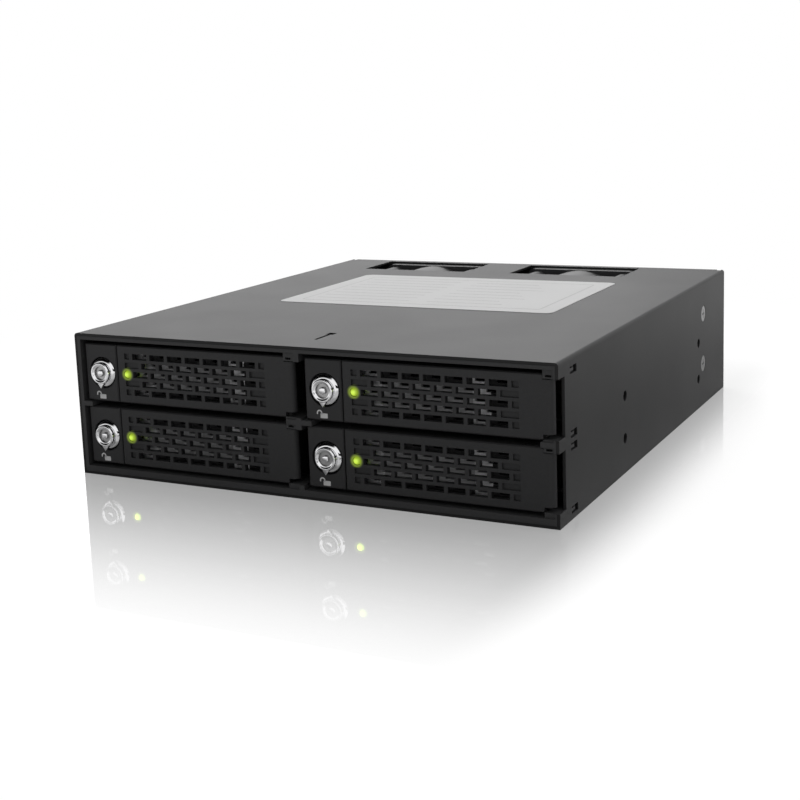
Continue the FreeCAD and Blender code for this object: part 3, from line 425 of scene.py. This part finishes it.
screwLine = middleOf("side_screws", 1)
sideRows = headRows("side_screws", recessLook["sideHead"])
fanRows = headRows("fan_screws", recessLook["fanHead"])
fanMiddles = (middleOf("fan_frame_left", 0), middleOf("fan_frame_right", 0))
paintedRecessShade(mixed["sideSteel"], metalLooks["sideSteel"]["color"], "Y", sideRows,
            (screwLine, screwLine))
paintedRecessShade(mixed["fanSteel"], metalLooks["fanSteel"]["color"], "X", fanRows, fanMiddles,
            (fanRows[1] - fanRows[0]) / 2)

boardLook = {"color": (0.018, 0.095, 0.04), "roughness": 0.3, "coat": 0.4, "coatRoughness": 0.15,
             "trackScale": 160, "trackWidth": 0.012, "shadow": 0.85, "track": 1.5}


def boardFinish(name, look):
    # green mask over a faint grid of tracks
    material, tree, shader = startFinish(name, look)
    turned = feed(tree, addNode(tree, "ShaderNodeMapping"), {
        "Vector": placeSocket(tree), "Rotation": (math.pi / 2, 0, 0)})
    shades = {"Color1": 1, "Color2": look["shadow"], "Mortar": look["track"]}
    tracks = feed(tree, addNode(tree, "ShaderNodeTexBrick", offset=0.5), {
        "Vector": turned.outputs["Vector"], "Scale": look["trackScale"],
        "Mortar Size": look["trackWidth"],
        **{key: (*[c * level for c in look["color"]], 1) for key, level in shades.items()}})
    feed(tree, shader, {"Base Color": tracks.outputs["Color"]})
    return material


mixed["boardMask"] = boardFinish("boardMask", boardLook)

# shed is the light that the lens gives to the pieces around it
lensLook = {"color": (0.05, 0.09, 0.01), "roughness": 0.25, "strength": 1.0, "shed": 3.0,
            "glowAt": (0.25, 0.7, 0.97),
            "glow": [(0.2, 0.29, 0.02), (0.32, 0.45, 0.03), (0.63, 0.88, 0.08)]}


def lensFinish(name, look):
    # the glow follows the dome's slope, from the rim to the bright middle
    material, tree, shader = startFinish(name, look)
    ramp = addNode(tree, "ShaderNodeValToRGB")
    steps = ramp.color_ramp.elements
    steps[0].position, steps[1].position = look["glowAt"][0], look["glowAt"][2]
    steps.new(look["glowAt"][1])
    for step, color in zip(steps, look["glow"]):
        step.color = (*color, 1)
    feed(tree, ramp, {"Fac": mathNode(tree, "ABSOLUTE", splitPlace(tree, "Normal")["Y"])})
    path = addNode(tree, "ShaderNodeLightPath")
    level = rampNode(tree, path.outputs["Is Camera Ray"], 0, 1, look["shed"], look["strength"])
    feed(tree, shader, {"Emission Color": ramp.outputs["Color"], "Emission Strength": level})
    return material


mixed["lensGlow"] = lensFinish("lensGlow", lensLook)

finishes = {
    "top_cover": "housingPaint", "bottom_pan": "housingPaint", "centre_divider": "housingPaint",
    "shelf_": "housingPaint", "rear_panel": "housingPaint", "front_frame": "frameMoulding",
    "tray_guides": "guideMoulding", "backplane_board": "boardMask",
    "drive_sockets": "connectorMoulding", "sata_ports": "connectorMoulding",
    "power_ports": "connectorMoulding", "fan_headers": "connectorMoulding",
    "board_screws": "brightSteel", "fan_screws": "fanSteel", "side_screws": "sideSteel",
    "fan_frame_": "fanMoulding", "fan_rotor_": "bladeMoulding", "tray_upper": "trayMoulding",
    "tray_lower": "trayMoulding", "bezel_screws": "brightSteel", "bezel_": "bezelMoulding",
    "door_": "doorPaint", "hinge_pin": "brightSteel", "lock_": "lockChrome",
    "latch_": "latchMoulding", "light_pipe": "clearMoulding",
}
print("finishes mixed")

for nodeName, node in nodes.items():
    found = [key for key in finishes if nodeName.startswith(key)]
    dress(node, mixed[finishes[max(found, key=len)]])
print("nodes dressed")


# Bare label on the top, with plain ruled lines

label = {"left": -45.3, "right": 47, "front": -17.5, "back": 44.2, "thick": 0.1, "corner": 2.6,
         "cornerSteps": 6, "sunk": 0.02, "ruleInset": 5.5, "ruleWidth": 0.4, "ruleCorner": 1.3,
         "inkSunk": 0.01, "inkProud": 0.015, "rows": 8, "rowWidth": 0.5, "rowLower": 0.004,
         "leftRow": (-37, -4), "rightRow": (2, 30), "rightRagged": 3}
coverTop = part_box("top_cover")[1].z


def roundedPlate(name, inset, bottom, top, corner):
    left, right = (label["left"] + inset) * mm, (label["right"] - inset) * mm
    front, back = (label["front"] + inset) * mm, (label["back"] - inset) * mm
    clearSelection()
    bpy.ops.mesh.primitive_plane_add(size=1, location=((left + right) / 2, (front + back) / 2,
                                                       bottom))
    plate = namePiece(name)
    plate.scale = (right - left, back - front, 1)
    applyPlace(plate)
    bpy.ops.object.mode_set(mode="EDIT")
    bpy.ops.mesh.select_all(action="SELECT")
    bpy.ops.mesh.bevel(offset=corner * mm, segments=label["cornerSteps"], affect="VERTICES")
    bpy.ops.mesh.select_all(action="SELECT")
    bpy.ops.mesh.extrude_region_move(TRANSFORM_OT_translate={"value": (0, 0, top - bottom)})
    bpy.ops.mesh.select_all(action="SELECT")
    bpy.ops.mesh.normals_make_consistent(inside=False)
    objectMode()
    return plate


labelTop = coverTop + label["thick"] * mm
labelSheet = roundedPlate("label_sheet", 0, coverTop - label["sunk"] * mm, labelTop,
                          label["corner"])
dress(labelSheet, mixed["labelFilm"])
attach(labelSheet, "housing")

inkBottom = labelTop - label["inkSunk"] * mm
inkTop = labelTop + label["inkProud"] * mm
border = roundedPlate("label_rules", label["ruleInset"], inkBottom, inkTop, label["ruleCorner"])
# only the two large faces have more than four corners
editChosen(border, "FACE", lambda face: abs(face.normal.z) > 0.9 and len(face.verts) > 4)
bpy.ops.mesh.inset(thickness=label["ruleWidth"] * mm)
bpy.ops.mesh.bridge_edge_loops()
objectMode()
rules = [border]
firstY = label["front"] + label["ruleInset"]
rowPitch = (label["back"] - label["ruleInset"] - firstY) / (label["rows"] + 1)
for row in range(1, label["rows"] + 1):
    rowFront = firstY + row * rowPitch - label["rowWidth"] / 2
    ragged = label["rightRow"][1] - label["rightRagged"] * (row % 3)
    for left, right in (label["leftRow"], (label["rightRow"][0], ragged)):
        rules.append(plainBox("label_row", (left * mm, rowFront * mm, inkBottom),
                              (right * mm, (rowFront + label["rowWidth"]) * mm,
                               inkTop - label["rowLower"] * mm)))
labelRules = joinPieces(rules, "label_rules")
dress(labelRules, mixed["ruleInk"])
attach(labelRules, "housing")
print("label placed")


# Small printed padlock beside each lock

padlock = {"fromLeft": 3.2, "fromBottom": 0.65, "bodyShift": 1.1, "bodyWidth": 2.15,
           "bodyHeight": 1.3, "bodyCorner": 0.2, "archRadius": 0.66, "archWidth": 0.36,
           "archHeight": 2.0, "archSteps": 14, "legLength": 0.35, "proud": 0.03, "sunk": 0.01,
           "merge": 0.001}


def makePadlock(name, left, bottom, faceY):
    back = faceY + padlock["sunk"] * mm
    front = faceY - padlock["proud"] * mm
    bodyLeft = left + padlock["bodyShift"]
    body = plainBox(name, (bodyLeft * mm, front, bottom * mm),
                    ((bodyLeft + padlock["bodyWidth"]) * mm, back,
                     (bottom + padlock["bodyHeight"]) * mm))
    merge = padlock["merge"] * mm
    editChosen(body, "EDGE", lambda edge: abs((edge.verts[0].co - edge.verts[1].co).y) > merge)
    bpy.ops.mesh.bevel(offset=padlock["bodyCorner"] * mm, segments=3, affect="EDGES")
    objectMode()
    # open shackle: a left leg, the arch, and a right leg that runs into the body
    radius = padlock["archRadius"] * mm
    half = padlock["archWidth"] / 2 * mm
    archZ = (bottom + padlock["archHeight"] - padlock["fromBottom"]) * mm
    archX = left * mm + radius + half
    legEnd = archZ - padlock["legLength"] * mm
    arch = plainBox(name + "_arch", (archX - radius - half, front, legEnd),
                    (archX - radius + half, back, archZ))
    editChosen(arch, "FACE", lambda face: face.normal.z > 0.9)
    bpy.ops.mesh.spin(steps=padlock["archSteps"], angle=-math.pi,
                      center=(archX, (front + back) / 2, archZ), axis=(0, 1, 0))
    bpy.ops.mesh.extrude_region_move(TRANSFORM_OT_translate={"value": (0, 0, legEnd - archZ)})
    bpy.ops.mesh.select_all(action="SELECT")
    bpy.ops.mesh.remove_doubles(threshold=merge)
    bpy.ops.mesh.normals_make_consistent(inside=False)
    objectMode()
    return joinPieces([body, arch], name)


for bay in bays:
    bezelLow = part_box("bezel_" + bay)[0]
    mark = makePadlock("padlock_mark_" + bay, bezelLow.x / mm + padlock["fromLeft"],
                       bezelLow.z / mm + padlock["fromBottom"], bezelLow.y)
    dress(mark, mixed["markPrint"])
    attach(mark, "drawer_" + bay)
print("padlock marks printed")


# Domed lens in the hole of each door

lens = {"radius": 1.12, "proud": 0.5, "seat": 0.6, "around": 24, "rings": 12, "smooth": 60}

for bay in bays:
    doorLow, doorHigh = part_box("door_" + bay)
    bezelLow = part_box("bezel_" + bay)[0]
    centre = (bezelLow.x + lensFromLeft * mm, doorLow.y + lens["seat"] * mm,
              (doorLow.z + doorHigh.z) / 2)
    clearSelection()
    bpy.ops.mesh.primitive_uv_sphere_add(segments=lens["around"], ring_count=lens["rings"],
                                         radius=lens["radius"] * mm, location=centre)
    dome = namePiece("lens_" + bay)
    dome.scale = (1, (lens["proud"] + lens["seat"]) / lens["radius"], 1)
    applyPlace(dome)
    bpy.ops.object.mode_set(mode="EDIT")
    bpy.ops.mesh.select_all(action="SELECT")
    bpy.ops.mesh.bisect(plane_co=centre, plane_no=(0, 1, 0), clear_outer=True, use_fill=True)
    objectMode()
    smoothEdges(dome, lens["smooth"])
    dress(dome, mixed["lensGlow"])
    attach(dome, "drawer_" + bay)
print("lenses lit")


# Chromed locks: a domed ring and a key head with a bead, a dished face and a round keyway

lock = {"bore": 2.56, "flange": 4.25, "body": 4.0, "headRadius": 3.15, "headBack": 0.5,
        "shaft": 2.5, "length": 9.6, "turnSteps": 72, "smooth": 40,
        "pointerReach": 4.45, "pointerHalf": 1.25, "pointerStart": 2.5, "pointerTop": 2.8,
        "pointerFront": 1.36, "pointerEdge": 0.16, "grooveInner": 0.92, "grooveOuter": 1.98,
        "grooveFloor": 0.6, "camHalf": 1.2, "camFront": 9.9, "camBack": 10.9, "camBelow": 2,
        "camAbove": 3.5, "merge": 0.002}
shaftEnd = lock["length"] + 0.3
# radius and depth behind the tray's face, from the bore round the dome to the body
ringProfile = [(lock["bore"], lock["length"]), (lock["bore"], -0.3), (2.66, -0.4), (3.2, -0.4),
               (3.5, -0.33), (3.75, -0.2), (3.95, -0.04), (4.12, 0.14), (4.22, 0.3),
               (lock["flange"], 0.4), (lock["body"], 0.4), (lock["body"], lock["length"]),
               (lock["bore"], lock["length"])]
headProfile = [(0, -1.42), (0.7, -1.42), (0.88, -1.34), (0.95, -1.2), (0.95, -0.72),
               (1.95, -0.72), (1.95, -1.2), (2.02, -1.3), (2.3, -1.36), (2.42, -1.42),
               (2.52, -1.54), (2.68, -1.6), (2.88, -1.58), (3.04, -1.48), (3.13, -1.3),
               (lock["headRadius"], -1.1), (lock["headRadius"], -lock["headBack"]),
               (lock["shaft"], -lock["headBack"]), (lock["shaft"], shaftEnd), (0, shaftEnd)]


def spunPiece(name, centre, profile):
    # draws the profile point by point and turns it round the lock's line
    clearSelection()
    start = Vector((centre.x + profile[0][0] * mm, centre.y + profile[0][1] * mm, centre.z))
    bpy.ops.mesh.primitive_plane_add(size=mm, location=start)
    piece = namePiece(name)
    bpy.ops.object.mode_set(mode="EDIT")
    bpy.ops.mesh.select_mode(type="VERT")
    bpy.ops.mesh.select_all(action="SELECT")
    bpy.ops.mesh.merge(type="CENTER")
    for before, after in zip(profile, profile[1:]):
        move = ((after[0] - before[0]) * mm, (after[1] - before[1]) * mm, 0)
        bpy.ops.mesh.extrude_region_move(TRANSFORM_OT_translate={"value": move})
    bpy.ops.mesh.select_all(action="SELECT")
    bpy.ops.mesh.spin(steps=lock["turnSteps"], angle=2 * math.pi, center=centre, axis=(0, 1, 0))
    bpy.ops.mesh.select_all(action="SELECT")
    bpy.ops.mesh.remove_doubles(threshold=lock["merge"] * mm)
    bpy.ops.mesh.normals_make_consistent(inside=False)
    objectMode()
    applyPlace(piece)
    return piece


def makePointer(name, centre):
    tip = centre.z - lock["pointerReach"] * mm
    half = lock["pointerHalf"] * mm
    front = centre.y - lock["pointerFront"] * mm
    pointer = plainBox(name, (centre.x - half, front, tip),
                       (centre.x + half, centre.y - lock["headBack"] * mm,
                        centre.z - lock["pointerStart"] * mm))
    rise = (lock["pointerReach"] - lock["pointerTop"]) * mm
    for side in (-1, 1):
        editChosen(pointer, "FACE", lambda face: True)
        slope = Vector((side * rise, 0, -half)).normalized()
        bpy.ops.mesh.bisect(plane_co=(centre.x, centre.y, tip), plane_no=slope,
                            clear_outer=True, use_fill=True)
        objectMode()
    editChosen(pointer, "EDGE",
               lambda edge: all(vert.co.y < front + 0.06 * mm for vert in edge.verts))
    bpy.ops.mesh.bevel(offset=lock["pointerEdge"] * mm, segments=3, affect="EDGES")
    objectMode()
    return pointer


def makeCam(name, centre):
    half = lock["camHalf"] * mm
    low = (centre.x - half, centre.y + lock["camFront"] * mm, centre.z - lock["camBelow"] * mm)
    high = (centre.x + half, centre.y + lock["camBack"] * mm, centre.z + lock["camAbove"] * mm)
    return plainBox(name, low, high)


def finishLock(piece, nodeName, body):
    smoothEdges(piece, lock["smooth"])
    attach(piece, body)
    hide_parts(nodeName)


def inGroove(face, centre):
    middle = face.calc_center_median() - centre
    out = math.hypot(middle.x, middle.z)
    return (lock["grooveInner"] * mm < out < lock["grooveOuter"] * mm
            and middle.y < -lock["grooveFloor"] * mm)


for bay in bays:
    ringLow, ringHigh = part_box("lock_barrel_" + bay)
    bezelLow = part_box("bezel_" + bay)[0]
    centre = Vector(((ringLow.x + ringHigh.x) / 2, bezelLow.y, (ringLow.z + ringHigh.z) / 2))
    ring = spunPiece("lock_ring_" + bay, centre, ringProfile)
    dress(ring, mixed["lockChrome"])
    finishLock(ring, "lock_barrel_" + bay, "lock_" + bay)
    head = spunPiece("key_head_" + bay, centre, headProfile)
    pointer = makePointer("pointer", centre)
    cam = makeCam("cam", centre)
    head = joinPieces([head, pointer, cam], "key_head_" + bay)
    dress(head, mixed["lockChrome"])
    head.data.materials.append(mixed["keyShadow"])
    editChosen(head, "FACE", lambda face: inGroove(face, centre))
    head.active_material_index = 1
    bpy.ops.object.material_slot_assign()
    objectMode()
    finishLock(head, "lock_plug_" + bay, "plug_" + bay)
print("locks polished")


# Stage: floor with a fading reflection, lamps, world and camera

# the floor's size is in m and its other lengths in mm
floorLook = {"size": 60, "sunk": 0.02, "color": 0.78, "glow": 0.6, "gloss": 0.56,
             "roughness": 0.02, "reach": 105, "sideFade": 4.2, "steep": 0.15, "slanted": 0.5,
             "whiteFrom": 45, "whiteTo": 190}
worldLook = {"light": 0.46, "shade": 0.2, "shadeWay": (0.8, 0.6, 0), "shadeFrom": -0.3,
             "shadeTo": 0.9, "flagWay": (-0.5, -0.25, 0.83), "flagStart": 0.55, "flagEnd": 0.75,
             "stripBottom": (0.0, 0.04), "stripTop": (0.25, 0.3), "stripSide": (0.45, 0.55)}
lamps = {"top_lamp": {"place": (0.1, 0.25, 0.9), "size": 0.9, "watts": 2.5},
         "rear_lamp": {"place": (-0.55, 0.87, 0.5), "size": 0.8, "watts": 1.55},
         "side_lamp": {"place": (0.9, -0.1, 0.45), "size": 0.6, "watts": 0.1}}
white = (1, 1, 1, 1)

clearSelection()
bpy.ops.mesh.primitive_plane_add(size=floorLook["size"], location=(0, 0, -floorLook["sunk"] * mm))
floor = namePiece("studio_floor")


def floorFinish(look):
    material = bpy.data.materials.new("studioFloor")
    material.use_nodes = True
    tree = material.node_tree
    tree.nodes.clear()
    path = addNode(tree, "ShaderNodeLightPath").outputs
    # way from the object's footprint
    outside = vectorNode(tree, "SUBTRACT", vectorNode(tree, "ABSOLUTE", placeSocket(tree)),
                         (cadHigh.x, cadHigh.y, 1))
    outside = vectorNode(tree, "MAXIMUM", outside, (0, 0, 0))
    distance = vectorNode(tree, "LENGTH", outside, output="Value")
    # the reflection beside the object ends sooner than the one in front
    weighed = vectorNode(tree, "MULTIPLY", outside, (look["sideFade"], 1, 0))
    mirrorWay = vectorNode(tree, "LENGTH", weighed, output="Value")
    fade = rampNode(tree, mirrorWay, 0, look["reach"] * mm, look["gloss"], 0, True)
    # a steep look sees plain paper
    slant = addNode(tree, "ShaderNodeLayerWeight").outputs["Facing"]
    grazing = rampNode(tree, slant, look["steep"], look["slanted"], smooth=True)
    matt = feed(tree, addNode(tree, "ShaderNodeBsdfDiffuse"), {
        "Color": (look["color"],) * 3 + (1,)})
    lit = mathNode(tree, "MULTIPLY", path["Is Camera Ray"], look["glow"])
    glow = feed(tree, addNode(tree, "ShaderNodeEmission"), {"Color": white, "Strength": lit})
    paper = feed(tree, addNode(tree, "ShaderNodeAddShader"), {
        0: matt.outputs[0], 1: glow.outputs[0]})
    shine = feed(tree, addNode(tree, "ShaderNodeBsdfGlossy"), {"Roughness": look["roughness"]})
    near = mixShaders(tree, mathNode(tree, "MULTIPLY", fade, grazing), paper.outputs[0],
                      shine.outputs[0])
    # far from the object the floor is pure white to the eye and in reflections
    away = rampNode(tree, distance, look["whiteFrom"] * mm, look["whiteTo"] * mm, smooth=True)
    watched = mathNode(tree, "MAXIMUM", path["Is Camera Ray"], path["Is Glossy Ray"])
    far = feed(tree, addNode(tree, "ShaderNodeEmission"), {"Color": white, "Strength": 1})
    sheet = mixShaders(tree, mathNode(tree, "MULTIPLY", away, watched), near, far.outputs[0])
    feed(tree, addNode(tree, "ShaderNodeOutputMaterial"), {"Surface": sheet})
    return material


floor.data.materials.append(floorFinish(floorLook))


def buildWorld(look):
    # white to the eye, with a softer light on the pieces
    world = bpy.data.worlds.new("studioWorld")
    bpy.context.scene.world = world
    world.use_nodes = True
    tree = world.node_tree
    tree.nodes.clear()
    path = addNode(tree, "ShaderNodeLightPath").outputs
    lookWay = placeSocket(tree, "Generated")
    parts = splitPlace(tree, "Generated")
    # dark flags, seen only in reflections: a large one overhead and a low strip at the right
    toward = vectorNode(tree, "DOT_PRODUCT", lookWay, Vector(look["flagWay"]).normalized(),
                        output="Value")
    flag = rampNode(tree, toward, look["flagStart"], look["flagEnd"], smooth=True)
    above = rampNode(tree, parts["Z"], *look["stripBottom"], smooth=True)
    below = rampNode(tree, parts["Z"], *look["stripTop"], 1, 0, True)
    aside = rampNode(tree, parts["X"], *look["stripSide"], smooth=True)
    strip = mathNode(tree, "MULTIPLY", mathNode(tree, "MULTIPLY", above, below), aside)
    dark = mathNode(tree, "MULTIPLY", mathNode(tree, "MAXIMUM", flag, strip),
                    path["Is Glossy Ray"])
    seen = feed(tree, addNode(tree, "ShaderNodeBackground"), {
        "Color": white, "Strength": mathNode(tree, "SUBTRACT", 1.0, dark)})
    # less light comes from behind on the right
    behind = vectorNode(tree, "DOT_PRODUCT", lookWay, look["shadeWay"], output="Value")
    level = rampNode(tree, behind, look["shadeFrom"], look["shadeTo"], look["light"], look["shade"])
    light = feed(tree, addNode(tree, "ShaderNodeBackground"), {"Color": white, "Strength": level})
    watched = mathNode(tree, "MAXIMUM", path["Is Camera Ray"], path["Is Glossy Ray"])
    watched = mathNode(tree, "MAXIMUM", watched, path["Is Transmission Ray"])
    surface = mixShaders(tree, watched, light.outputs[0], seen.outputs[0])
    feed(tree, addNode(tree, "ShaderNodeOutputWorld"), {"Surface": surface})


buildWorld(worldLook)

for name, look in lamps.items():
    clearSelection()
    bpy.ops.object.light_add(type="AREA", location=look["place"])
    lamp = namePiece(name)
    lamp.data.shape = "SQUARE"
    lamp.data.size = look["size"]
    lamp.data.energy = look["watts"]
    lamp.rotation_euler = (-Vector(look["place"])).to_track_quat("-Z", "Y").to_euler()

# Camera fitted to the photograph's straight edges
viewPoint = {"place": (0.1827, -0.38037, 0.10695), "yaw": 0.4706, "pitch": 0.1696,
             "roll": -0.0351, "lens": 60.96, "sensor": 36, "shiftY": -0.1, "nearest": 0.01}
clearSelection()
bpy.ops.object.camera_add(location=viewPoint["place"])
camera = namePiece("photo_camera")
turn = Euler((math.pi / 2 - viewPoint["pitch"], 0, viewPoint["yaw"])).to_matrix()
camera.rotation_euler = (turn @ Matrix.Rotation(viewPoint["roll"], 3, "Z")).to_euler()
camera.data.sensor_width = viewPoint["sensor"]
camera.data.lens = viewPoint["lens"]
camera.data.shift_y = viewPoint["shiftY"]
camera.data.clip_start = viewPoint["nearest"]
bpy.context.scene.camera = camera
bpy.context.scene.view_settings.view_transform = "Standard"
print("stage set")
